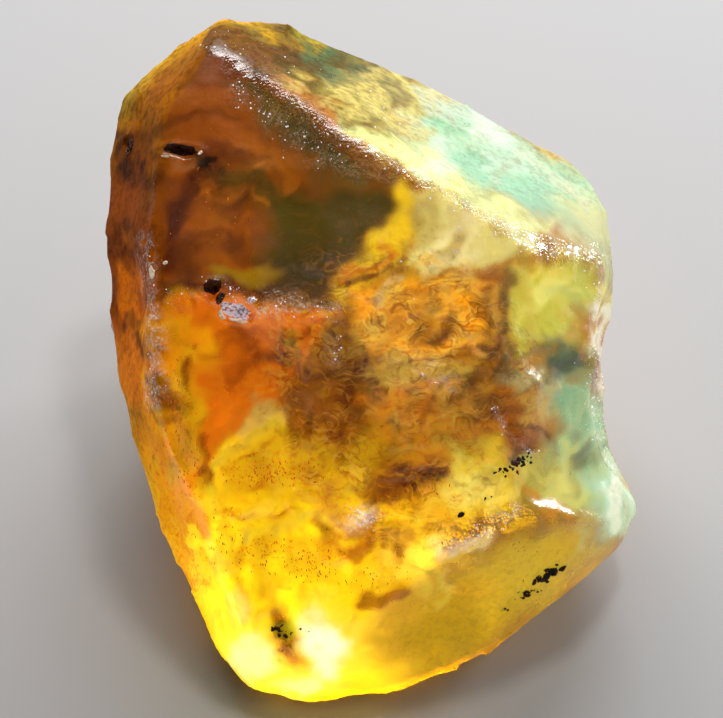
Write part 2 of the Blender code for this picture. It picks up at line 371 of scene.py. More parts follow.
# Soft strokes of clouded and dark resin: line on the sheet, half width, colour, strength, painted glow.
GOLD = (255, 222, 90)
FLAME = (255, 150, 0)
SMOKE = (105, 58, 5)
UMBER = (52, 24, 2)
# A white for painted glow and painted highlights.
PAINTED_WHITE_GLOW = (255, 252, 225)
MOSS = (75, 75, 15)
# The resin's teal, darkened with painted shade for the hollow.
TEAL_WITH_PAINTED_SHADE = (30, 105, 80)
STROKES = (
    (((-0.2, -2.6), (1.0, -2.75), (2.7, -2.6)), 0.16, GOLD, 0.7, 0.2),
    (((1.5, -4.0), (1.5, -3.4), (2.4, -3.15), (3.2, -3.4), (4.1, -3.8)), 0.34, GOLD, 0.95, 0.5),
    (((1.7, -5.2), (2.4, -4.7), (3.0, -5.3), (2.6, -5.9)), 0.22, GOLD, 0.6, 0.2),
    (((-0.6, -5.2), (0.4, -5.0), (1.3, -5.1)), 0.16, GOLD, 0.6, 0.2),
    (((1.6, -6.6), (2.6, -6.2), (3.8, -6.5)), 0.18, GOLD, 0.6, 0.2),
    (((-1.9, 2.9), (-0.4, 3.9), (1.3, 5.0)), 0.24, FLAME, 0.9, 0.3),
    (((0.9, 2.0), (1.3, 2.8), (1.8, 3.6)), 0.35, (250, 235, 170), 0.8, 0.3),
    (((-7.4, -5.6), (-6.7, -4.8), (-5.6, -4.3), (-4.9, -4.3)), 0.55, (245, 225, 110), 0.8, 0.25),
    (((-8.9, -8.2), (-7.3, -6.4), (-5.6, -5.2)), 0.35, (255, 235, 60), 0.9, 0.35),
    (((-12.1, 0.9), (-11.5, -0.6), (-11.0, -1.9)), 0.30, (255, 195, 10), 0.7, 0.3),
    (((-11.4, 1.2), (-10.8, -0.6), (-10.2, -2.6)), 0.14, (255, 180, 10), 0.6, 0.3),
    (((-9.2, -9.2), (-9.0, -11.0), (-8.4, -13.0)), 0.3, (255, 235, 40), 0.8, 0.35),
    (((-7.2, -12.0), (-5.4, -11.8), (-3.6, -11.2)), 0.3, (255, 240, 60), 0.8, 0.35),
    (((2.2, -13.0), (3.0, -13.2), (3.6, -13.9)), 0.25, GOLD, 0.7, 0.3),
    (((4.4, -13.4), (4.9, -14.0), (4.6, -14.8)), 0.2, GOLD, 0.7, 0.3),
    (((9.0, -9.2), (10.2, -10.1), (11.9, -9.7)), 0.22, (250, 180, 30), 0.8, 0.25),
    (((10.2, 3.8), (11.4, 3.2), (12.8, 3.6)), 0.4, (250, 250, 90), 0.8, 0.4),
    (((9.2, 2.6), (9.9, 1.4), (10.0, 0.2)), 0.35, (250, 245, 80), 0.7, 0.35),
    (((12.4, 1.2), (13.2, -0.2)), 0.35, (250, 180, 20), 0.8, 0.25),
    (((7.6, -2.8), (8.6, -4.0), (7.4, -5.4), (5.2, -5.8)), 0.4, (235, 150, 15), 0.8, 0.15),
    (((-10.5, 8.2), (-9.2, 8.5), (-7.6, 8.3), (-6.2, 7.5)), 0.16, (225, 130, 20), 0.6, 0.1),
    (((-10.4, 6.2), (-8.4, 6.6), (-6.9, 5.6)), 0.18, (215, 115, 15), 0.6, 0.05),
    (((-7.0, 9.6), (-5.6, 10.4), (-4.6, 9.4), (-4.7, 8.4)), 0.2, (235, 140, 15), 0.6, 0.1),
    (((-8.0, 3.6), (-6.8, 3.9), (-6.0, 3.4)), 0.35, (190, 160, 10), 0.5, 0.1),
    (((-1.5, 2.8), (0.0, 3.6), (1.4, 4.5)), 0.16, SMOKE, 0.8, 0.0),
    (((-0.4, -1.4), (-1.0, -3.3), (-1.4, -5.2)), 0.35, SMOKE, 0.8, 0.0),
    (((1.6, 0.9), (2.6, 0.2), (3.8, 0.1), (4.6, 0.6)), 0.30, MOSS, 0.55, 0.0),
    (((3.0, -1.2), (4.2, -1.4), (5.2, -1.0)), 0.25, MOSS, 0.4, 0.0),
    (((5.8, -0.6), (6.6, -0.9), (7.3, -0.7)), 0.22, MOSS, 0.7, 0.0),
    (((8.6, 3.2), (8.2, 1.8), (8.0, 0.4)), 0.30, (95, 98, 20), 0.6, 0.02),
    (((7.0, 2.2), (6.8, 1.0), (6.3, 0.0)), 0.28, (110, 100, 20), 0.4, 0.02),
    (((-8.4, -8.4), (-6.6, -7.3), (-5.8, -6.4)), 0.15, (225, 140, 5), 0.7, 0.1),
    (((-9.0, -10.2), (-7.3, -11.1), (-5.4, -11.0), (-3.9, -10.7)), 0.18, (225, 140, 5), 0.7, 0.1),
    (((-10.0, 10.1), (-9.4, 10.0), (-8.6, 9.7)), 0.65, UMBER, 0.95, 0.0),
    (((-8.8, 9.6), (-7.4, 9.2), (-6.2, 8.6)), 0.45, UMBER, 0.75, 0.0),
    (((-11.9, 10.5), (-11.0, 10.1), (-10.0, 10.4)), 0.22, (205, 150, 95), 0.8, 0.1),
    (((-10.7, 9.4), (-11.0, 8.2), (-11.6, 6.4)), 0.38, UMBER, 0.9, 0.0),
    (((-11.6, 6.2), (-11.2, 5.0), (-11.8, 4.0)), 0.4, UMBER, 0.5, 0.0),
    (((-8.6, 9.6), (-7.2, 9.4), (-5.8, 8.2)), 0.45, MOSS, 0.7, 0.0),
    (((-12.0, 2.4), (-10.8, 2.7), (-9.8, 2.6)), 0.5, UMBER, 0.85, 0.0),
    (((-8.2, 2.9), (-7.2, 2.6), (-6.2, 2.4)), 0.4, UMBER, 0.6, 0.0),
    (((-14.2, 11.4), (-13.9, 10.0)), 0.45, UMBER, 0.8, 0.0),
    (((-13.6, 9.2), (-12.6, 9.0)), 0.5, UMBER, 0.5, 0.0),
    (((-12.0, -2.6), (-11.4, -4.0), (-10.9, -5.8)), 0.5, (150, 60, 4), 0.7, 0.0),
    (((-13.4, 0.8), (-13.0, -0.6)), 0.4, SMOKE, 0.7, 0.0),
    (((-9.9, -6.9), (-10.2, -8.2), (-9.2, -9.0)), 0.35, (150, 65, 4), 0.7, 0.0),
    (((-2.4, -12.0), (-1.4, -12.6), (-0.2, -11.6)), 0.4, (175, 95, 5), 0.7, 0.0),
    (((0.4, -9.4), (2.0, -9.2), (3.6, -8.4)), 0.5, SMOKE, 0.7, 0.0),
    (((-0.6, -15.4), (0.6, -15.9), (1.6, -15.7)), 0.45, (150, 100, 10), 0.75, 0.0),
    # Teal with painted shade in the hollow.
    (((9.4, -2.5), (10.8, -2.4), (12.0, -1.7)), 0.5, TEAL_WITH_PAINTED_SHADE, 0.6, 0.04),
    (((9.0, -5.2), (9.8, -5.6)), 0.2, MOSS, 0.7, 0.0),
    (((8.5, -7.6), (9.3, -7.3)), 0.30, (120, 110, 20), 0.7, 0.0),
    # The pale strokes from here to the tip glow: painted glow where light comes through the foot, and
    # painted highlights down the right edge and at the tip.
    (((-0.9, -10.9), (0.2, -10.6)), 0.50, (255, 248, 210), 0.95, 1.0),
    (((-7.4, -18.6), (-5.4, -20.4), (-2.6, -20.2)), 1.3, (255, 240, 70), 0.6, 0.9),
    (((-3.0, -17.0), (-2.2, -18.2), (-2.4, -19.2)), 1.5, (255, 240, 70), 0.6, 0.9),
    (((13.5, 1.4), (13.4, -1.0), (13.5, -3.0)), 0.45, (235, 250, 232), 0.75, 0.7),
    (((-7.1, -18.8), (-6.6, -19.3)), 0.9, PAINTED_WHITE_GLOW, 0.45, 1.0),
    (((-2.9, -17.4), (-2.3, -18.2), (-2.5, -18.9)), 0.9, PAINTED_WHITE_GLOW, 0.65, 1.0),
    (((-2.7, -17.7), (-2.4, -18.5)), 0.5, PAINTED_WHITE_GLOW, 0.7, 1.0),
    (((-7.8, -15.6), (-7.6, -16.4)), 0.5, (255, 240, 130), 0.5, 0.8),
    (((-4.4, -20.6), (-3.6, -20.5)), 0.7, PAINTED_WHITE_GLOW, 0.4, 0.9),
    (((-4.9, -17.2), (-4.8, -18.2)), 0.8, (140, 55, 2), 0.8, 0.05),
    (((14.0, -8.8), (14.6, -9.8), (14.4, -10.6)), 0.35, PAINTED_WHITE_GLOW, 0.45, 0.8),
    (((11.2, -6.4), (12.2, -7.4), (12.9, -9.2)), 0.55, (215, 242, 130), 0.6, 0.6),
    # Dark green painted shade running on from the hollow.
    (((7.6, -1.9), (8.8, -2.4), (10.0, -2.7)), 0.50, (52, 84, 46), 0.75, 0.06),
    (((-8.8, 17.2), (-6.8, 16.6), (-4.8, 16.6)), 1.0, (105, 66, 22), 0.9, 0.0),
    (((4.6, -12.6), (6.4, -12.0)), 0.50, (235, 235, 190), 0.75, 0.6),
    (((-2.4, -9.7), (-1.6, -10.4)), 0.6, (255, 190, 50), 0.7, 0.35),
    (((-2.2, -0.4), (-1.7, -1.8)), 0.5, (225, 200, 130), 0.5, 0.15),
    (((-4.9, -0.1), (-4.3, -0.9)), 0.4, (175, 185, 60), 0.6, 0.15),
    (((-7.0, 15.6), (-4.6, 16.2), (-2.0, 15.0)), 0.7, (120, 75, 25), 0.7, 0.0),
    (((-3.6, 16.6), (-1.4, 16.2), (0.6, 15.4)), 0.5, (95, 100, 55), 0.7, 0.0),
    (((1.6, 15.2), (2.8, 14.2), (2.4, 13.0)), 0.4, (225, 225, 120), 0.7, 0.15),
    (((0.2, 13.6), (2.0, 12.2), (3.4, 11.6)), 0.4, (225, 215, 120), 0.7, 0.15),
    (((3.6, 14.0), (5.6, 12.8), (7.4, 12.0)), 0.6, (200, 240, 215), 0.7, 0.15),
    (((8.6, 10.8), (10.8, 9.4), (12.4, 8.0)), 0.5, (225, 245, 200), 0.7, 0.2),
)
# Loose smudges: middle on the sheet, spread right and up, heading in degrees, how many, colour,
# strength, painted glow.
SMUDGES = (
    ((3.0, 0.4), (3.0, 2.0), 35, 14, MOSS, 0.45, 0.0),
    ((3.2, 1.0), (3.0, 1.6), 30, 26, GOLD, 0.5, 0.4),
    ((3.4, -3.2), (3.2, 2.0), 30, 30, SMOKE, 0.45, 0.0),
    ((3.4, -3.2), (3.2, 2.0), 30, 40, GOLD, 0.6, 0.35),
    ((3.4, -4.8), (3.2, 1.6), 20, 40, FLAME, 0.5, 0.4),
    ((-2.4, -3.0), (1.8, 2.2), 50, 26, (200, 160, 75), 0.5, 0.2),
    ((-2.4, -3.0), (1.8, 2.2), 50, 20, UMBER, 0.35, 0.0),
    ((-2.4, -4.0), (2.2, 2.2), 50, 20, (215, 130, 10), 0.45, 0.2),
    ((-6.6, -9.6), (2.4, 1.8), 30, 30, (255, 212, 8), 0.5, 0.8),
    ((-5.2, -13.8), (2.8, 2.0), 60, 56, (255, 244, 20), 0.6, 1.05),
    ((-9.0, -12.6), (0.9, 1.8), 100, 16, (255, 244, 30), 0.6, 1.05),
    ((2.6, 1.6), (1.8, 1.2), 30, 12, (255, 165, 5), 0.6, 0.5),
    ((-4.5, -8.4), (3.0, 1.2), 25, 30, (195, 105, 5), 0.28, 0.35),
    ((-4.5, -7.0), (3.0, 1.0), 25, 20, (255, 205, 20), 0.5, 0.55),
    ((-5.0, -13.4), (3.0, 2.2), 80, 50, (205, 120, 4), 0.24, 0.4),
    ((-1.6, -13.0), (2.4, 1.8), 50, 24, (215, 150, 5), 0.25, 0.4),
    ((-4.0, -11.0), (4.0, 2.6), 25, 24, (255, 225, 20), 0.3, 0.6),
    ((-11.2, -4.4), (0.8, 2.8), 95, 30, (110, 40, 2), 0.5, 0.0),
    ((-7.6, -1.0), (2.4, 2.2), 45, 22, (150, 52, 2), 0.40, 0.10),
    ((-9.8, -0.6), (0.7, 1.6), 70, 12, (255, 176, 5), 0.45, 0.6),
    ((-5.4, -1.4), (1.0, 1.4), 50, 14, (120, 62, 6), 0.45, 0.05),
    ((-10.9, -5.6), (0.9, 3.0), 95, 36, (255, 195, 15), 0.6, 0.5),
    ((-11.6, -0.8), (0.6, 1.6), 100, 14, (255, 170, 5), 0.6, 0.5),
    ((5.8, -8.4), (1.6, 1.6), 40, 26, (250, 248, 110), 0.55, 0.6),
    ((3.0, -13.2), (2.4, 1.4), 40, 30, (250, 228, 70), 0.55, 0.5),
    ((2.0, -11.4), (2.4, 1.4), 40, 22, (140, 95, 8), 0.5, 0.0),
    ((11.2, 2.2), (1.6, 1.5), 30, 18, (250, 252, 120), 0.55, 0.6),
    ((12.6, 2.4), (0.5, 1.2), 20, 6, (170, 225, 130), 0.4, 0.4),
    ((12.6, 0.6), (0.5, 1.2), 75, 8, (215, 150, 20), 0.55, 0.2),
    ((12.4, -6.6), (1.0, 2.4), 75, 16, (205, 245, 175), 0.5, 0.5),
    ((12.6, -6.4), (1.0, 2.4), 60, 6, (70, 130, 105), 0.35, 0.1),
    ((11.6, -8.4), (1.0, 1.0), 40, 12, (235, 240, 120), 0.5, 0.6),
    ((10.2, -1.6), (1.4, 0.5), 10, 8, (230, 170, 40), 0.5, 0.4),
    ((9.8, -2.6), (1.4, 0.3), 5, 6, (225, 220, 140), 0.5, 0.5),
    ((-1.0, 14.4), (3.6, 1.2), -30, 34, (225, 205, 110), 0.55, 0.25),
    ((-3.0, 15.6), (3.0, 0.8), -25, 26, (75, 62, 18), 0.6, 0.0),
    ((-1.0, 15.4), (2.4, 0.8), -25, 12, (70, 105, 70), 0.6, 0.05),
    ((7.0, 11.0), (3.4, 1.4), -30, 22, (215, 245, 215), 0.45, 0.5),
    ((-8.8, 7.6), (2.2, 2.6), 15, 34, UMBER, 0.4, 0.0),
    ((4.4, 6.2), (2.0, 1.5), 60, 16, (150, 136, 62), 0.38, 0.30),
    ((5.2, 5.4), (2.2, 1.2), 60, 16, (240, 240, 175), 0.40, 0.85),
    ((-8.6, 5.6), (2.0, 1.6), 10, 14, (225, 120, 10), 0.3, 0.1),
    ((-7.4, 3.4), (1.4, 0.4), 10, 14, (205, 180, 10), 0.55, 0.15),
    ((-14.2, 2.0), (0.8, 5.0), 90, 20, UMBER, 0.40, 0.0),
    ((-13.8, -1.0), (0.7, 4.0), 90, 20, (250, 130, 2), 0.45, 0.45),
)
SMUDGE_SEED = 5
# The painted glow all over the broad face, standing in for light through the resin, and how much the
# foot adds to it inside its soft top and right edge.
PAINTED_GLOW_BASE = 0.05
PAINTED_FOOT_GLOW = 0.85
PAINTED_GLOW_TOP = (-4.0, -13.0)
PAINTED_GLOW_RIGHT = (7.0, 0.0)
# Faint arcs run across the brow round this place on the sheet.
ARC_MIDDLE = (-9.5, 2.0)


class Stain:
    """The resin's colour at each point of the skin, and how much painted glow it gives off there."""

    def __init__(self, colours):
        self.colours = colours
        self.painted_glow = np.zeros(len(colours))

    def wash(self, share, tint, painted_glow_level=None, where=slice(None)):
        """Lays a share of a tint over the points, and of its painted glow where it has one."""
        self.colours[where] += share[:, None] * (np.array(rgb(*tint)) - self.colours[where])
        if painted_glow_level is not None:
            self.painted_glow[where] += share * (painted_glow_level - self.painted_glow[where])


def stain_of(points, x, y, front):
    """The stain of the whole skin, from the widest mottling down to the smallest smudge, and its painted
    glow.
    """
    share = smooth(-0.3, 0.3, field(points, 6.0, 9.0))[:, None]
    dark, light = (np.array(rgb(*tint)) for tint in HONEY)
    stain = Stain(dark * (1 - share) + light * share)
    for tint, size, start, low, high, strength in BACK_TINTS:
        mottle = field(points, size, start) + 0.35 * field(points, 1.0, start + 2)
        stain.wash(strength * smooth(low, high, mottle), tint)
    ragged = points + 1.5 * np.stack([field(points, 2.8, start) for start in (11.0, 13.0, 15.0)], 1)
    for spot, size, soft, tint, strength in DEEP:
        hit, _ = seen_at(*spot, packed_skin)
        gap = np.linalg.norm(ragged - np.array(hit / MM), axis=1)
        stain.wash(strength * smooth(size + soft, size, gap), tint)

    x = x + 0.9 * field(points, 2.4, 31.0) + 0.40 * field(points, 0.8, 33.0)
    y = y + 0.9 * field(points, 2.4, 35.0) + 0.40 * field(points, 0.8, 37.0)
    stain.painted_glow = front * (PAINTED_GLOW_BASE + PAINTED_FOOT_GLOW * smooth(*PAINTED_GLOW_TOP, y) * smooth(*PAINTED_GLOW_RIGHT, x))
    for outline, soft, tint, strength, painted_glow_level in FACE_TINTS:
        stain.wash(front * strength * soft_inside(x, y, outline, soft), tint, painted_glow_level)
    brow = front * soft_inside(x, y, BROW, 2.0)
    arc_x = x - ARC_MIDDLE[0]
    arc_y = y - ARC_MIDDLE[1]
    arcs = field(np.stack([np.hypot(arc_x, arc_y * 0.8), np.arctan2(arc_y, arc_x), 0 * x], 1), 0.8, 21.0)
    stain.wash(0.60 * brow * smooth(0.0, 0.4, arcs), SMOKE)
    stain.wash(0.35 * brow * smooth(0.0, -0.5, arcs), FLAME)
    for line, wide, tint, strength, painted_glow_level in STROKES:
        stain.wash(front * strength * smooth(wide * 1.7, wide * 0.3, line_gap(x, y, line)), tint, painted_glow_level)

    draw = random.Random(SMUDGE_SEED)
    for (mx, my), (wide, high), heading, count, tint, strength, painted_glow_level in SMUDGES:
        for _ in range(count):
            sx = draw.gauss(mx, wide / 1.5)
            sy = draw.gauss(my, high / 1.5)
            angle = math.radians(draw.gauss(heading, 25))
            reach = draw.uniform(0.1, 0.7)
            half = draw.uniform(0.20, 0.50)
            close = np.flatnonzero(np.abs(x - sx) + np.abs(y - sy) < 2.0)
            ends = [(sx + k * reach * math.cos(angle), sy + k * reach * math.sin(angle)) for k in (-1, 1)]
            share = front[close] * draw.uniform(0.5, 1) * strength
            share *= smooth(half * 1.8, 0.0, line_gap(x[close], y[close], ends))
            stain.wash(share, tint, painted_glow_level, close)
    return stain


def broken_rise(points, x, y, front, hackly, foot, crest):
    """How far each point of the skin is moved outwards to break it."""
    back = 1 - front
    large = 0.25 + 0.75 * back + 0.3 * hackly
    middling = 0.10 + 0.40 * back + 0.7 * hackly + 0.6 * foot + 0.5 * crest
    small = 0.10 * back + 0.5 * hackly + 0.7 * foot + 1.0 * crest
    rise = np.zeros(len(points))
    for share, scars in zip((large, middling, small), SCARS):
        rise += np.clip(share, 0, 1) * broken(points, *scars)
    rise += 0.04 * field(points, 1.1, 5.0) + 0.02 * field(points, 0.5, 2.0) * (1 + 2 * crest)
    drop = np.zeros(len(points))
    for outline, depth, slope in FACE_SCARS:
        share = np.clip(line_gap(x, y, outline + outline[:1]) / slope, 0, 1)
        drop = np.maximum(drop, inside(x, y, outline) * depth * (1 - (1 - share) ** 2))
    rise -= front * drop
    for (px, py), wide, high, deep in PITS:
        r = np.hypot((x - px) / wide, (y - py) / high)
        rise += front * deep * (0.25 * np.exp(-((r - 1.15) / 0.25) ** 2) - smooth(1.1, 0.4, r))
    return rise * smooth(0.0, 0.8, points[:, 2])


def rough_skin(mesh):
    """Breaks the even skin as the real lump is broken, and keeps what its material needs to know."""
    count = len(mesh.vertices)
    points = np.empty(count * 3, np.float32)
    normals = np.empty(count * 3, np.float32)
    mesh.vertices.foreach_get("co", points)
    mesh.vertices.foreach_get("normal", normals)
    points = points.reshape(-1, 3).astype(float) / MM
    normals = normals.reshape(-1, 3).astype(float)
    x, y = sheet_place(points)
    x += 0.35 * field(points, 1.4, 3.0)
    y += 0.35 * field(points, 1.4, 6.0)
    turned = normals @ np.array(TO_EYE)
    front = smooth(0.05, 0.35, turned)
    facing = smooth(-0.05, 0.10, turned)
    off_middle = [(at - middle) / half for at, middle, half in zip((x, y), HACKLY_MIDDLE, HACKLY_ROUND)]
    hackly = front * smooth(*HACKLY_EDGE, np.hypot(*off_middle))
    foot = front * smooth(*FOOT_TOP, y) * smooth(*FOOT_RIGHT, x)
    crest = np.zeros(count)
    for line, share in CHIPPED:
        crest = np.maximum(crest, share * front * smooth(1.3, 0.1, line_gap(x, y, line)))
    crest *= 0.35 + 0.65 * smooth(*WORN_CREST, x)
    points += normals * broken_rise(points, x, y, front, hackly, foot, crest)[:, None]
    points[:, 2] = np.maximum(points[:, 2], 0)

    # The chipped crests get a little white frost, a painted sparkle along them.
    frosted = 0.2 * crest
    for line, wide, strength in FROSTED:
        share = strength * smooth(wide * 1.6, wide * 0.5, line_gap(x, y, line))
        frosted = np.maximum(frosted, front * share)
    soft_sides = np.maximum(soft_inside(x, y, LEMON_COLUMN, 2.0), soft_inside(x, y, LEMON_LOW, 2.0))
    left = np.maximum(smooth(*FLANK_RIGHT, x), smooth(0.60, 0.34, turned) * smooth(-4.0, -8.0, x)) * facing
    crown = facing * smooth(0.82, 0.55, turned) * smooth(*CROWN_BOTTOM, y)
    crown *= 0.94 - 0.60 * smooth(-3.0, 6.0, x)
    patches = smooth(-0.10, 0.45, field(points, 5.5, 41.0) + 0.3 * field(points, 1.2, 43.0))
    weathered = (
        0.98 * left,
        crown,
        0.5 * front * soft_inside(x, y, TOE, 3.0),
        0.75 * (1 - smooth(-0.05, 0.30, turned)) * patches,
    )
    dulled = smooth(2.4, 1.0, line_gap(x, y, LOWER_RIDGE))
    stain = stain_of(points, x, y, smooth(-0.05, 0.12, turned))
    zones = {
        "hackly": hackly,
        "crest": crest,
        "frosted": frosted,
        "folded": front * np.maximum(hackly, 0.7 * soft_sides),
        "hazy": front * np.maximum(soft_inside(x, y, BROW, 1.5), soft_inside(x, y, WINDOW, 1.5)),
        "polished": smooth(0.30, 0.55, turned) * (1 - 0.85 * dulled),
        "flank": left,
        "weathered": np.maximum.reduce(weathered),
        "foot": front * smooth(-5.0, -8.0, y) * smooth(4.0, -1.0, x) * smooth(-17.5, -15.0, y),
        # Painted shade: how far the weathered skin is darkened, more towards the top.
        "painted_shade_above": smooth(-10.0, -1.0, y),
        "painted_glow": stain.painted_glow,
    }
    for name, values in zones.items():
        mesh.attributes.new(name, "FLOAT", "POINT").data.foreach_set("value", values.astype(np.float32))
    tint = mesh.attributes.new("tint", "FLOAT_COLOR", "POINT")
    tint.data.foreach_set("color", stain.colours.astype(np.float32).ravel())
    mesh.vertices.foreach_set("co", (points * MM).astype(np.float32).ravel())
    mesh.update()


def applied(obj):
    """Replaces an object's mesh by the result of its modifiers."""
    graph = bpy.context.evaluated_depsgraph_get()
    old = obj.data
    obj.data = bpy.data.meshes.new_from_object(obj.evaluated_get(graph))
    obj.modifiers.clear()
    bpy.data.meshes.remove(old)


skin = bmesh.new()
skin.from_mesh(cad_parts["amber_lump"].data)
bmesh.ops.remove_doubles(skin, verts=skin.verts, dist=1e-6)
packed_skin = BVHTree.FromBMesh(skin)
lump_mesh = bpy.data.meshes.new("rough_amber")
skin.to_mesh(lump_mesh)
skin.free()
lump = as_object("rough_amber", lump_mesh)
grain = lump.modifiers.new("grain", "REMESH")
grain.mode = "VOXEL"
grain.voxel_size = GRAIN * MM
even = lump.modifiers.new("even", "SMOOTH")
even.factor = 0.5
even.iterations = 3
applied(lump)
rough_skin(lump.data)
lump.data.shade_smooth()


class Wire:
    """A value, vector or colour on its way through a material. Sums on values add Math nodes."""

    def __init__(self, socket):
        self.socket = socket

    def node(self, kind, settings, inputs, output=0):
        """A node of that kind: its settings are set first, then its sockets are set or linked."""
        made = self.socket.id_data.nodes.new("ShaderNode" + kind)
        for name, value in settings.items():
            setattr(made, name, value)
        feed(made, inputs)
        return Wire(made.outputs[output])

    def sum(self, operation, a, b):
        return self.node("Math", {"operation": operation}, {0: a, 1: b})

    def __add__(self, other):
        return self.sum("ADD", self, other)

    def __radd__(self, other):
        return self.sum("ADD", other, self)

    def __sub__(self, other):
        return self.sum("SUBTRACT", self, other)

    def __rsub__(self, other):
        return self.sum("SUBTRACT", other, self)

    def __mul__(self, other):
        return self.sum("MULTIPLY", self, other)

    def __rmul__(self, other):
        return self.sum("MULTIPLY", other, self)


def feed(node, inputs):
    """Sets sockets of a node, or links wires to them."""
    for name, value in inputs.items():
        if isinstance(value, Wire):
            node.id_data.links.new(value.socket, node.inputs[name])
        else:
            node.inputs[name].default_value = value


def finish_of(name):
    """A new material, its surface shader, and the place on the piece in millimetres."""
    material = bpy.data.materials.new(name)
    material.use_nodes = True
    material.cycles.emission_sampling = "NONE"
    surface = material.node_tree.nodes["Principled BSDF"]
    metres = Wire(surface.outputs[0]).node("TexCoord", {}, {}, "Object")
    place = metres.node("VectorMath", {"operation": "SCALE"}, {0: metres, "Scale": 1 / MM})
    return material, surface, place


def clouds(place, size, detail=3.0, rough=0.55, warp=0.0):
    """Noise from 0 to 1 with features of the given size in millimetres."""
    inputs = {"Vector": place, "Scale": 1 / size, "Detail": detail, "Roughness": rough, "Distortion": warp}
    return place.node("TexNoise", {}, inputs)


def ramp(value, low, high):
    """0 below low, 1 above high (or the other way round), with an even ramp between."""
    return value.node(
        "MapRange", {"interpolation_type": "SMOOTHSTEP"}, {0: value, 1: low, 2: high, 3: 0.0, 4: 1.0}
    )


def blend(mask, under, over):
    """The colour under where the mask is 0 and over where it is 1."""
    return mask.node("Mix", {"data_type": "RGBA"}, {0: mask, 6: under, 7: over}, 2)


def kept(place, name):
    """What a mesh keeps for each of its points under a name."""
    return place.node("Attribute", {"attribute_name": name}, {}, "Fac")


RESIN_IOR = 1.54
RESIN_TINT = (0.95, 0.70, 0.08, 1)
RESIN_DENSITY = 60.0
BLACK = (0, 0, 0, 1)
amber, surface, place = finish_of("amber")
colour = place.node("Attribute", {"attribute_name": "tint"}, {}, "Color")
painted_glow = kept(place, "painted_glow")
hackly = kept(place, "hackly")

# Finer marks: streaks drawn out along the flow through the hackly middle, and mottling all over.
drift = place.node("TexNoise", {}, {"Vector": place, "Scale": 0.7, "Detail": 1.0}, "Color")
drift = place.node("VectorMath", {"operation": "SCALE"}, {0: drift, "Scale": 2.2})
bent = place.node("VectorMath", {"operation": "ADD"}, {0: place, 1: drift})
drawn = place.node(
    "Mapping", {}, {"Vector": bent, "Rotation": (0.3, -0.7, 0.4), "Scale": (0.45, 1.6, 1.6)}
)
streak = clouds(drawn, 0.75, 2.0, 0.6)
colour = blend(ramp(streak, 0.50, 0.60) * (0.04 + 0.26 * hackly), colour, rgb(125, 72, 5))
colour = blend(ramp(streak, 0.46, 0.36) * (0.03 + 0.45 * hackly), colour, rgb(255, 192, 30))
# Folds of the flow: a light and a dark line side by side, where a drawn-out noise crosses its middle.
FOLDS = ((1.7, 1.0, 0.0), (0.8, 0.0, 0.5))
folded = kept(place, "folded") * ramp(clouds(place, 1.6, 0.0), 0.44, 0.60)
for size, detail, warp in FOLDS:
    fold = clouds(drawn, size, detail, 0.6, warp) - 0.5
    light = ramp(fold, 0.00, 0.03) * ramp(fold, 0.10, 0.03) * folded * 0.55
    dark = ramp(fold, 0.00, -0.04) * ramp(fold, -0.12, -0.04) * folded * hackly * 0.45
    colour = blend(light, colour, rgb(255, 212, 76))
    colour = blend(dark, colour, rgb(100, 56, 5))
strands = place.node(
    "Mapping", {}, {"Vector": bent, "Rotation": (0.0, 0.5, 0.0), "Scale": (1.6, 1.0, 0.6)}
)
fibres = ramp(clouds(strands, 0.30, 2.0, 0.6), 0.53, 0.66)
colour = blend(fibres * kept(place, "foot") * 0.38, colour, rgb(208, 118, 0))
colour = blend(fibres * kept(place, "flank") * 0.45, colour, rgb(190, 92, 0))
mottle = ramp(clouds(place, 0.5, 2.0, 0.65), 0.54, 0.66)
colour = blend(mottle * (0.10 + 0.25 * hackly), colour, rgb(120, 60, 5))
# Painted sparkle: fine white speckles on the frosted places that stand in for glints.
painted_sparkle = ramp(clouds(place, 0.16, 1.0, 0.5), 0.50, 0.62)
frosted = kept(place, "frosted") * ramp(clouds(place, 0.8, 1.0, 0.6), 0.36, 0.52)
colour = blend(frosted * (0.12 + 0.6 * painted_sparkle), colour, rgb(240, 238, 232))
# Painted glow: the resin's colour given off as light, standing in for light that comes through it.
painted_light = blend(painted_glow, BLACK, colour)

# The coat shines on the polished faces. Chipped edges and the hackly middle break it up into glints.
crest = kept(place, "crest")
glints = ramp(clouds(place, 0.8, 0.0), 0.58, 0.66) + ramp(clouds(place, 0.22, 0.0), 0.52, 0.62) * 0.7
broken_up = 1.0 - crest * (1.0 - glints) - hackly * 0.85
height = clouds(place, 0.25, 1.0) * (0.15 + 0.35 * hackly + 1.6 * frosted)
height = height + clouds(place, 0.16, 0.0) * crest * 1.3
grain_bump = place.node("Bump", {}, {"Strength": 0.6, "Distance": 0.12 * MM, "Height": height})
feed(surface, {
    "Base Color": colour,
    "Roughness": 0.17 + painted_glow * 0.25 + kept(place, "hazy") * 0.22 + hackly * 0.16,
    "Specular IOR Level": 0.3,
    "IOR": RESIN_IOR,
    "Transmission Weight": 0.78,
    "Coat Weight": 0.05 + kept(place, "polished") * 0.6 * broken_up,
    "Coat Roughness": 0.04,
    "Coat IOR": RESIN_IOR,
    "Emission Color": painted_light,
    "Emission Strength": 1.0,
    "Normal": grain_bump,
})

# The weathered skin of the steep sides: the same resin gone cloudy with fine cracks and rubbed grime.
# Its colour is darkened with painted shade, a little all over and more towards the top, and it has
# the same painted glow.
grime = ramp(clouds(place, 0.45, 1.0, 0.65), 0.45, 0.65)
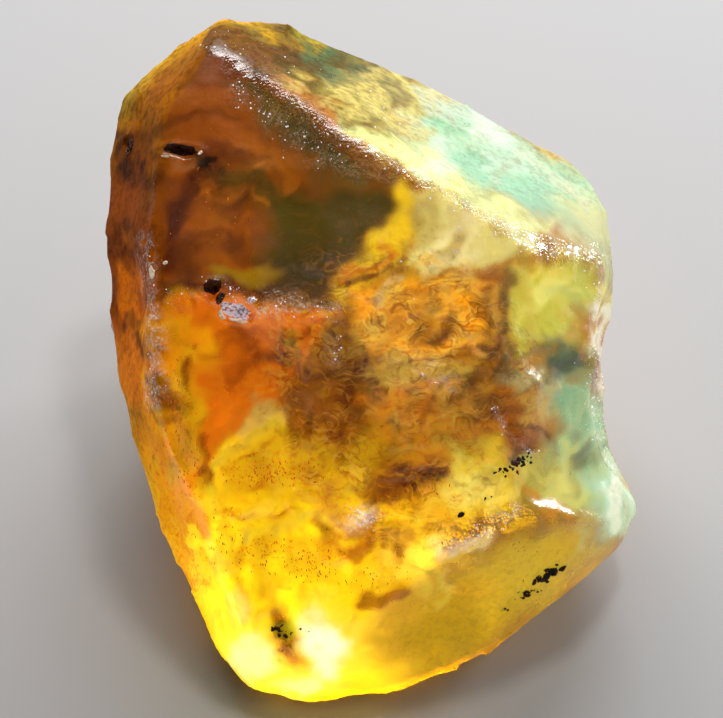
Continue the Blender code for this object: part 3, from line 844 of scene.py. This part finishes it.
# Painted shade darkens the weathered colour, more towards the top; the grime laid over it is the resin's
# own.
shaded = blend(0.06 + kept(place, "painted_shade_above") * 0.24, colour, rgb(8, 5, 0))
dirty = blend(grime * 0.45, shaded, rgb(60, 26, 2))
weathered_skin = place.node("BsdfPrincipled", {}, {
    "Base Color": blend(painted_sparkle * 0.015, dirty, rgb(240, 205, 150)),
    "Roughness": 0.6,
    "Specular IOR Level": 0.02,
    "Emission Color": painted_light,
    "Emission Strength": 1.0,
    "Normal": grain_bump,
})
clear_skin = Wire(surface.outputs[0])
both_skins = {0: kept(place, "weathered"), 1: clear_skin, 2: weathered_skin}
feed(amber.node_tree.nodes["Material Output"], {
    "Surface": place.node("MixShader", {}, both_skins),
    "Volume": place.node("VolumeAbsorption", {}, {"Color": RESIN_TINT, "Density": RESIN_DENSITY}),
})
lump.data.materials.append(amber)
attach(lump, "root")
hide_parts("amber_lump")


# Flow wisps and healed cracks. Each new run of resin dragged threads of cloudy or dark resin into
# the last one, and small cracks closed again. They are thin ribbons sealed under the broad face.
RIBBON_STEPS = 26
RIBBON_SIDES = 10
WISP_THICK = 0.06
RIPPLE_THICK = 0.03
# Line on the sheet, half width, depth.
WISPS = (
    (((-1.3, 2.9), (0.0, 3.8), (1.4, 4.8)), 0.07, 0.55),
    (((5.8, -0.9), (6.6, -0.6), (7.4, -0.4)), 0.06, 0.5),
    (((12.6, -7.6), (13.0, -9.0), (12.8, -10.0)), 0.05, 0.5),
    (((2.4, -13.4), (3.4, -13.8), (4.2, -13.6)), 0.05, 0.5),
)
# Loose ripples: middle on the sheet, spread right and up, how many.
RIPPLES = (
    ((3.4, 1.0), (2.6, 1.4), 4),
    ((5.6, -1.6), (1.6, 1.4), 4),
    ((2.6, -4.6), (2.4, 1.8), 4),
    ((-2.2, -2.8), (1.6, 2.0), 4),
    ((-10.9, -4.2), (0.9, 3.6), 8),
    ((1.6, -8.4), (2.0, 1.0), 4),
)

fresh = bmesh.new()
fresh.from_mesh(lump.data)
broken_skin = BVHTree.FromBMesh(fresh)
fresh.free()


def under(x, y, depth):
    """The point a depth behind the broken skin as the eye meets it at a place on the sheet."""
    hit, heading = seen_at(x, y, broken_skin)
    if hit is None:
        return under(x * 0.97, y * 0.97, depth)
    return hit / MM + heading * depth


def along(line, t):
    """The place a share t of the way along a smooth curve through the points of a line."""
    spot = t * (len(line) - 1)
    k = min(int(spot), len(line) - 2)
    f = spot - k
    p0, p1, p2, p3 = (Vector(line[min(max(k + i, 0), len(line) - 1)]) for i in (-1, 0, 1, 2))
    square = 2 * p0 - 5 * p1 + 4 * p2 - p3
    cube = 3 * p1 - p0 - 3 * p2 + p3
    return 0.5 * (2 * p1 + (p2 - p0) * f + square * f ** 2 + cube * f ** 3)


def join(made, rings):
    """Adds the faces between rings of points. A ring of one point closes an end."""
    for ring, after in zip(rings, rings[1:]):
        for k in range(max(len(ring), len(after))):
            way_round = ((ring, k), (ring, k + 1), (after, k + 1), (after, k))
            corners = dict.fromkeys(side[index % len(side)] for side, index in way_round)
            made.faces.new(list(corners))


def add_ribbon(made, line, wide, depth, thick, start):
    """One wisp: a closed flat ribbon along a line on the sheet, wavy and drawn out at both ends."""
    middle = []
    for i in range(RIBBON_STEPS + 1):
        spot = along(line, i / RIBBON_STEPS)
        wave = noise.noise(Vector((spot.x, spot.y, start)) * 0.9)
        middle.append(under(spot.x, spot.y, depth + 0.15 * wave))
    rings = [[made.verts.new(middle[0])]]
    for i in range(1, RIBBON_STEPS):
        t = i / RIBBON_STEPS
        ahead = (middle[i + 1] - middle[i - 1]).normalized()
        tip = math.sin(math.pi * t) ** 0.7
        swell = 1 + 0.7 * noise.noise(Vector((t * 5, start, 0)))
        lean = 0.9 * noise.noise(Vector((t * 2.5, start, 7)))
        facing = (TO_EYE + ahead.cross(TO_EYE) * lean).normalized()
        facing = (facing - ahead * facing.dot(ahead)).normalized()
        across = ahead.cross(facing)
        ring = []
        for k in range(RIBBON_SIDES):
            angle = math.tau * k / RIBBON_SIDES
            aside = across * (math.cos(angle) * wide * swell * tip)
            ring.append(made.verts.new(middle[i] + aside + facing * (math.sin(angle) * thick / 2 * tip)))
        rings.append(ring)
    rings.append([made.verts.new(middle[-1])])
    join(made, rings)


def as_piece(name, mesh, material):
    """Makes a mesh a smooth piece of the lump with one finish."""
    mesh.shade_smooth()
    mesh.materials.append(material)
    piece = as_object(name, mesh)
    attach(piece, "root")


def sealed(name, made, material):
    """Turns a bmesh in millimetres into a piece of the lump."""
    bmesh.ops.scale(made, vec=(MM, MM, MM), verts=made.verts)
    bmesh.ops.recalc_face_normals(made, faces=made.faces)
    mesh = bpy.data.meshes.new(name)
    made.to_mesh(mesh)
    made.free()
    as_piece(name, mesh, material)


def cloudy(name, thin, thick, clear):
    """A finish for resin that is clouded through: two colours, and how clear it is."""
    material, surface, place = finish_of(name)
    feed(surface, {
        "Base Color": blend(ramp(clouds(place, 0.5), 0.4, 0.62), thin, thick),
        "Roughness": 0.25 + ramp(clouds(place, 0.2), 0.4, 0.6) * 0.2,
        "IOR": 1.06,
        "Transmission Weight": clear,
    })
    return material


wisps = bmesh.new()
for index, (line, wide, depth) in enumerate(WISPS):
    add_ribbon(wisps, line, wide, depth, WISP_THICK, index * 3.7)
flow_draw = random.Random(3)
for (mx, my), (wide, high), count in RIPPLES:
    for index in range(count):
        start = Vector((flow_draw.gauss(mx, wide / 1.5), flow_draw.gauss(my, high / 1.5)))
        turn = noise.noise(Vector((start.x * 0.35, start.y * 0.35, 4))) * 5 + flow_draw.gauss(0, 0.4)
        reach = flow_draw.uniform(0.2, 0.6)
        bend = flow_draw.uniform(-0.3, 0.3)
        ahead = Vector((math.cos(turn), math.sin(turn)))
        aside = Vector((-ahead.y, ahead.x))
        line = (start - ahead * reach, start + aside * bend, start + ahead * reach)
        half = flow_draw.uniform(0.02, 0.06)
        depth = flow_draw.uniform(0.3, 0.8)
        add_ribbon(wisps, line, half, depth, RIPPLE_THICK, start.x + index)
sealed("dark_wisps", wisps, cloudy("dark_cloud", rgb(130, 72, 12), rgb(90, 70, 14), 0.8))


# Crumbs of bark and soil. Dark plant litter that stuck to the resin while it was soft and was
# buried by the next flow, in small clusters of broken bits at the skin and just under it.
# Middle on the sheet, spread right and up, turn in degrees, how many, size from and to, depth.
LITTER = (
    ((8.9, -7.5), (0.75, 0.26), 35, 40, (0.08, 0.20), -0.24),
    ((7.6, -8.0), (0.30, 0.15), 30, 9, (0.05, 0.11), -0.14),
    ((7.0, -9.6), (0.45, 0.12), 20, 9, (0.05, 0.10), -0.12),
    ((5.4, -10.6), (0.16, 0.08), 70, 7, (0.10, 0.17), -0.22),
    ((3.5, -13.9), (0.35, 0.10), 10, 5, (0.06, 0.12), 0.6),
    ((10.4, -14.0), (0.60, 0.26), 30, 34, (0.16, 0.34), -0.15),
    ((9.2, -15.1), (0.40, 0.18), 25, 20, (0.14, 0.26), -0.12),
    ((8.2, -16.0), (0.34, 0.12), 25, 12, (0.08, 0.18), -0.05),
    ((9.6, -14.8), (1.60, 0.40), 32, 40, (0.04, 0.09), 0.0),
    ((-4.9, -17.3), (0.50, 0.55), 90, 60, (0.14, 0.28), -0.10),
    ((-4.8, -17.6), (1.00, 1.00), 0, 110, (0.03, 0.09), -0.02),
    ((-11.2, -4.2), (0.45, 0.80), -15, 16, (0.08, 0.20), 0.4),
    ((-9.0, -10.6), (0.20, 0.50), 10, 8, (0.07, 0.14), 0.45),
    ((3.2, -8.3), (1.20, 0.55), 10, 20, (0.06, 0.18), 0.8),
    ((-9.4, 10.1), (0.50, 0.30), 10, 9, (0.22, 0.42), 0.9),
    ((-14.0, 10.9), (0.12, 0.50), 75, 7, (0.12, 0.22), 0.5),
    ((-4.6, -0.5), (0.50, 0.55), 40, 9, (0.08, 0.20), 0.3),
)


class Bits:
    """Many small closed bodies gathered into one piece, all bent from the same even ball."""

    def __init__(self, cuts):
        made = bmesh.new()
        bmesh.ops.create_icosphere(made, subdivisions=cuts, radius=1.0)
        self.ball = [vert.co.copy() for vert in made.verts]
        self.sides = [[vert.index for vert in face.verts] for face in made.faces]
        self.points = []
        self.faces = []
        made.free()

    def add(self, bend):
        """Adds one body: bend turns each point of the ball into its place in millimetres."""
        first = len(self.points)
        self.points += [bend(point) * MM for point in self.ball]
        self.faces += [[first + index for index in side] for side in self.sides]

    def piece(self, name, material):
        """Makes the gathered bodies one piece of the lump."""
        mesh = bpy.data.meshes.new(name)
        mesh.from_pydata(self.points, [], self.faces)
        as_piece(name, mesh, material)


def beside(spot, u, v, turn):
    """The place on the sheet u along and v across from a spot, on axes turned by some degrees."""
    cosine = math.cos(math.radians(turn))
    sine = math.sin(math.radians(turn))
    return spot[0] + u * cosine - v * sine, spot[1] + u * sine + v * cosine


def crumb(centre, size, draw):
    """How one broken bit is bent: longer one way and knocked out of round."""
    stretch = Vector((draw.uniform(0.6, 1.3), draw.uniform(0.6, 1.0), draw.uniform(0.5, 0.9)))
    shift = Vector((draw.uniform(0, 99), draw.uniform(0, 99), draw.uniform(0, 99)))
    turn = Vector((draw.gauss(0, 1), draw.gauss(0, 1), draw.gauss(0, 1))).to_track_quat("Z", "Y")

    def bend(point):
        knock = 1 + 0.55 * noise.noise(point * 1.6 + shift)
        return centre + turn @ (point * knock * stretch * size)

    return bend


litter_draw = random.Random(7)
litter = Bits(2)
for spot, (wide, high), turn, count, sizes, depth in LITTER:
    for _ in range(count):
        u = litter_draw.gauss(0, wide / 1.6)
        v = litter_draw.gauss(0, high / 1.6)
        size = litter_draw.uniform(*sizes)
        deep = depth + size + litter_draw.uniform(0, 0.3)
        litter.add(crumb(under(*beside(spot, u, v, turn), deep), size, litter_draw))
bark, surface, place = finish_of("bark_crumb")
bark_grain = {"Strength": 0.7, "Distance": 0.03 * MM, "Height": clouds(place, 0.08)}
feed(surface, {
    "Base Color": blend(ramp(clouds(place, 0.3), 0.4, 0.6), rgb(22, 14, 7), rgb(84, 38, 12)),
    "Roughness": 0.75,
    "Normal": place.node("Bump", {}, bark_grain),
})
litter.piece("bark_crumbs", bark)


# Fine specks. Dust and splinters drawn out along the flow of the resin, thousands of them in the
# real lump and over a thousand here, just at the skin and mostly in the lower left.
# Middle on the sheet, spread right and up, how many.
DUST = (
    ((-5.4, -8.2), (2.2, 0.7), 260),
    ((-8.2, -11.4), (0.8, 1.2), 80),
    ((-5.6, -12.8), (2.6, 0.9), 280),
    ((-3.2, -13.8), (1.3, 0.8), 120),
    ((-11.3, -4.4), (0.9, 2.4), 220),
    ((-10.4, -8.0), (0.8, 1.5), 110),
    ((3.0, -8.4), (1.6, 0.7), 60),
    ((0.5, -14.6), (1.6, 1.0), 60),
    ((7.5, -12.5), (2.5, 1.2), 60),
    ((-9.6, 7.6), (2.2, 3.0), 36),
)
# How deep each lies, how large it is and how far it is drawn out, all from and to.
SPECK_DEPTH = (-0.02, 0.06)
SPECK_SIZE = (0.015, 0.042)
SPECK_REACH = (0.6, 2.6)
dust_draw = random.Random(11)
dust = Bits(1)


def speck(at, size, slant, reach):
    """How one speck is bent: knocked out of round and drawn out along the flow."""

    def bend(point):
        knocked = point * (1 + 0.5 * noise.noise(point * 2 + at))
        return at + knocked * size + slant * (knocked.dot(slant) * size * reach)

    return bend


for (mx, my), (wide, high), count in DUST:
    for _ in range(count):
        x = dust_draw.gauss(mx, wide / 1.5)
        y = dust_draw.gauss(my, high / 1.5)
        at = under(x, y, dust_draw.uniform(*SPECK_DEPTH))
        slant = UP + RIGHT * dust_draw.gauss(-0.1, 0.35)
        size = dust_draw.uniform(*SPECK_SIZE)
        dust.add(speck(at, size, slant, dust_draw.uniform(*SPECK_REACH)))
specks_with_painted_glow, surface, place = finish_of("speck")
feed(surface, {
    "Base Color": blend(ramp(clouds(place, 0.5), 0.4, 0.6), rgb(120, 56, 4), rgb(184, 98, 4)),
    "Roughness": 0.7,
    # The specks glow orange: painted light, as if lit through the resin.
    "Emission Color": rgb(206, 112, 0),
    "Emission Strength": 0.5,
})
dust.piece("fine_specks", specks_with_painted_glow)


# Pit crusts. Hard dark mineral skins that grew in the open pits of the left side, a bright film of
# pyrite in the bowl, and pale patches of calcite round them. They hold fast to the broken skin. The
# pyrite's pale glow is a painted highlight in the bowl, and the calcite's glow is painted light.
CRUST_RINGS = 9
CRUST_SECTORS = 40
# Middle on the sheet, half width, half height, turn in degrees, height.
DARK_CRUSTS = (
    ((-11.0, 10.8), 1.00, 0.34, -4, 0.04),
    ((-9.10, 2.80), 0.55, 0.48, 0, 0.26),
    ((-8.70, 2.10), 0.24, 0.42, -30, 0.10),
    ((-14.0, 11.0), 0.16, 0.50, -15, 0.03),
)
PYRITE_FILMS_WITH_PAINTED_GLINT = (
    ((-7.80, 1.35), 0.95, 0.50, -20, 0.04),
    ((-6.85, 2.00), 0.26, 0.20, 0, 0.04),
)
PALE_CRUSTS = (
    ((-11.9, 10.45), 0.26, 0.08, -10, 0.03),
    ((-9.85, 10.65), 0.18, 0.10, 40, 0.03),
    ((-8.60, 1.10), 0.16, 0.34, 30, 0.05),
    ((-7.60, 0.78), 0.60, 0.12, -14, 0.05),
    ((-12.7, 3.60), 0.18, 0.40, 5, 0.04),
    ((-11.9, 4.20), 0.16, 0.12, 5, 0.05),
)
# How deep a crust is seated, how thick it is at the least, and how far its underside bulges in.
CRUST_SEAT = 0.03
CRUST_THICK = 0.05
CRUST_BULGE = 0.08


def crust_seat(spot, wide, high, turn, r, k):
    """The seat of a crust at a share r of the way out to its ragged rim, in the k-th direction."""
    angle = math.tau * k / CRUST_SECTORS
    way = Vector((math.cos(angle), math.sin(angle), spot[0]))
    ragged = r * (1 + 0.35 * noise.noise(way * 1.3) + 0.22 * noise.noise(way * 3.1))
    return under(*beside(spot, way.x * ragged * wide, way.y * ragged * high, turn), CRUST_SEAT)


def add_crust(made, spot, wide, high, turn, height):
    """A thin closed skin of mineral that hugs the broken resin, ragged at its rim."""
    top = []
    bottom = []
    for i in range(CRUST_RINGS):
        r = i / CRUST_RINGS
        upper = []
        lower = []
        for k in range(CRUST_SECTORS if i else 1):
            seat = crust_seat(spot, wide, high, turn, r, k)
            lumpy = 1 + 0.6 * noise.noise(seat * 3.0) + 0.5 * noise.noise(seat * 9.0)
            rise = CRUST_THICK + height * lumpy * math.sqrt(1 - r * r)
            upper.append(made.verts.new(seat + TO_EYE * rise))
            lower.append(made.verts.new(seat - TO_EYE * CRUST_BULGE * (1 - r)))
        top.append(upper)
        bottom.append(lower)
    rim = [made.verts.new(crust_seat(spot, wide, high, turn, 1.0, k)) for k in range(CRUST_SECTORS)]
    join(made, top + [rim] + bottom[::-1])


def crust_piece(name, places, material):
    """Gathers crusts of one mineral into one piece of the lump."""
    made = bmesh.new()
    for place in places:
        add_crust(made, *place)
    sealed(name, made, material)


def mineral(name, ground, fleck, metal, rough, coarse, painted_glow_level):
    """A finish for a mineral skin: two colours in flecks, metal share, roughness, grain and painted glow.
    """
    material, surface, place = finish_of(name)
    flecks = ramp(clouds(place, 0.18, 4.0), 0.45, 0.6)
    colour = blend(flecks, ground, fleck)
    lumps = {"Strength": 0.8, "Distance": coarse * MM, "Height": clouds(place, 0.12, 3.0)}
    feed(surface, {
        "Base Color": colour,
        "Metallic": metal,
        "Roughness": rough + flecks * 0.2,
        "Emission Color": colour,
        "Emission Strength": painted_glow_level,
        "Normal": place.node("Bump", {}, lumps),
    })
    return material


dark_crust = mineral("dark_crust", rgb(34, 18, 12), rgb(96, 50, 22), 0.0, 0.24, 0.06, 0.0)
# The pyrite film is pale and glows, a painted highlight in the bowl; the calcite glows as painted light.
pyrite_with_painted_glint = mineral("pyrite_with_painted_glint", rgb(240, 232, 244), rgb(150, 118, 128), 0.35, 0.18, 0.05, 0.30)
calcite = mineral("calcite", rgb(250, 232, 205), rgb(232, 200, 160), 0.0, 0.30, 0.08, 0.20)
crust_piece("dark_crusts", DARK_CRUSTS, dark_crust)
crust_piece("pyrite_films_with_painted_glint", PYRITE_FILMS_WITH_PAINTED_GLINT, pyrite_with_painted_glint)
crust_piece("pale_crusts", PALE_CRUSTS, calcite)


# Crushed grains. Fine white dust of broken resin that clings to the chipped edges and the ledge, and
# glows there as painted sparkle. Most grains are a few hundredths of a millimetre across.
# Line on the sheet, spread to the side, how many.
GRAINS = (
    (RIDGE[2:], 0.42, 280),
    (RIDGE[:3], 0.40, 60),
    (((-3.0, 12.4), (-1.0, 11.3), (2.0, 9.6), (6.0, 7.5)), 0.20, 240),
    (((-7.8, 14.4), (-6.0, 13.0), (-4.0, 11.4), (-2.0, 10.2)), 0.50, 260),
    (LEDGE, 0.35, 200),
    (((-13.0, 5.2), (-12.7, 0.4), (-12.5, -3.8)), 0.28, 80),
    (((-1.9, 0.0), (-1.9, -1.2)), 0.25, 30),
    (((2.6, 7.6), (5.0, 4.4), (1.4, 2.6)), 0.80, 40),
    (((4.4, -12.6), (6.6, -11.4), (9.0, -10.2)), 0.40, 130),
    (((-1.2, -10.6), (0.2, -10.9)), 0.30, 120),
    (((13.2, 3.6), (13.4, 0.0), (13.0, -3.0), (13.6, -6.0)), 0.35, 220),
    (((7.4, -4.2), (8.0, -5.9), (9.8, -7.0)), 0.12, 40),
    (((-9.0, 17.2), (-3.0, 15.4), (2.0, 12.6)), 0.90, 90),
)
# The least and the most size of a grain. Few are near the most.
LEAST_GRAIN = 0.012
MOST_GRAIN = 0.072
GRAIN_SEAT = -0.005
grain_draw = random.Random(23)
crushed_grains_with_painted_sparkle = Bits(1)
for line, aside, count in GRAINS:
    for _ in range(count):
        spot = along(line, grain_draw.random())
        x = spot.x + grain_draw.gauss(0, aside)
        y = spot.y + grain_draw.gauss(0, aside)
        seat = under(x, y, GRAIN_SEAT)
        size = LEAST_GRAIN + (MOST_GRAIN - LEAST_GRAIN) * grain_draw.random() ** 6
        crushed_grains_with_painted_sparkle.add(speck(seat, size, UP, 0.0))
painted_sparkle_grain_finish, surface, place = finish_of("crushed_resin_with_painted_sparkle")
feed(surface, {
    "Base Color": blend(ramp(clouds(place, 0.4), 0.4, 0.6), rgb(240, 240, 250), rgb(236, 230, 214)),
    "Roughness": 0.35,
    # The grains' white glow is painted sparkle.
    "Emission Color": rgb(238, 238, 250),
    "Emission Strength": 0.35,
})
crushed_grains_with_painted_sparkle.piece("crushed_grains_with_painted_sparkle", painted_sparkle_grain_finish)


# The floor. A plain pale sheet, matt like paper, that runs on out of view. It lies a hair below the
# flat underside that the lump rests on.
FLOOR_HALF = 1500.0
FLOOR_DROP = 0.05
floor_mesh = bpy.data.meshes.new("floor")
corners = [Vector((x, y, 0)) * FLOOR_HALF * MM for x, y in ((-1, -1), (1, -1), (1, 1), (-1, 1))]
floor_mesh.from_pydata(corners, [], [(0, 1, 2, 3)])
floor = as_object("floor", floor_mesh)
floor.location.z = -FLOOR_DROP * MM
sheet, surface, place = finish_of("pale_floor")
feed(surface, {"Base Color": (0.42, 0.42, 0.43, 1), "Roughness": 0.9, "Specular IOR Level": 0.1})
floor.data.materials.append(sheet)
floor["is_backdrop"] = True


# Lights. A large soft box behind the lump lights it through and lays a sheen on its top, a small one
# on the right and one above add points of gloss, and the room is a weak even grey, paler on the right.
def soft_box(name, stands_at, wide, high, watts, tint):
    """A soft box of that size in metres, turned to the lump."""
    lamp = bpy.data.lights.new(name, "AREA")
    lamp.shape = "RECTANGLE"
    lamp.size = wide
    lamp.size_y = high
    lamp.energy = watts
    lamp.color = tint
    made = as_object(name, lamp)
    made.location = stands_at
    made.rotation_mode = "QUATERNION"
    made.rotation_quaternion = (MIDDLE * MM - made.location).to_track_quat("-Z", "Y")


soft_box("back_light", Vector((0.00, 0.25, 0.17)), 0.32, 0.14, 1.5, (1.0, 0.98, 0.95))
soft_box("right_light", Vector((0.20, 0.16, 0.05)), 0.05, 0.05, 0.50, (0.95, 0.98, 1.0))
soft_box("top_light", Vector((0.05, 0.06, 0.28)), 0.04, 0.04, 0.20, (1.0, 0.98, 0.95))

ROOM_LEFT = (0.08, 0.08, 0.085, 1)
ROOM_RIGHT = (0.75, 0.78, 0.82, 1)
world = bpy.data.worlds.new("studio")
bpy.context.scene.world = world
world.use_nodes = True
background = world.node_tree.nodes["Background"]
heading = Wire(background.outputs[0]).node("TexCoord", {}, {}, "Generated")
TO_RIGHT = (0.8, 0.45, 0.4)
right_hand = heading.node("VectorMath", {"operation": "DOT_PRODUCT"}, {0: heading, 1: TO_RIGHT}, "Value")
feed(background, {"Color": blend(ramp(right_hand, -0.5, 0.8), ROOM_LEFT, ROOM_RIGHT), "Strength": 0.40})
bpy.context.scene.view_settings.view_transform = "Standard"

boxes = {"cad": cad_box, "visual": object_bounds()}
{name: [list(corner) for corner in box] for name, box in boxes.items()}
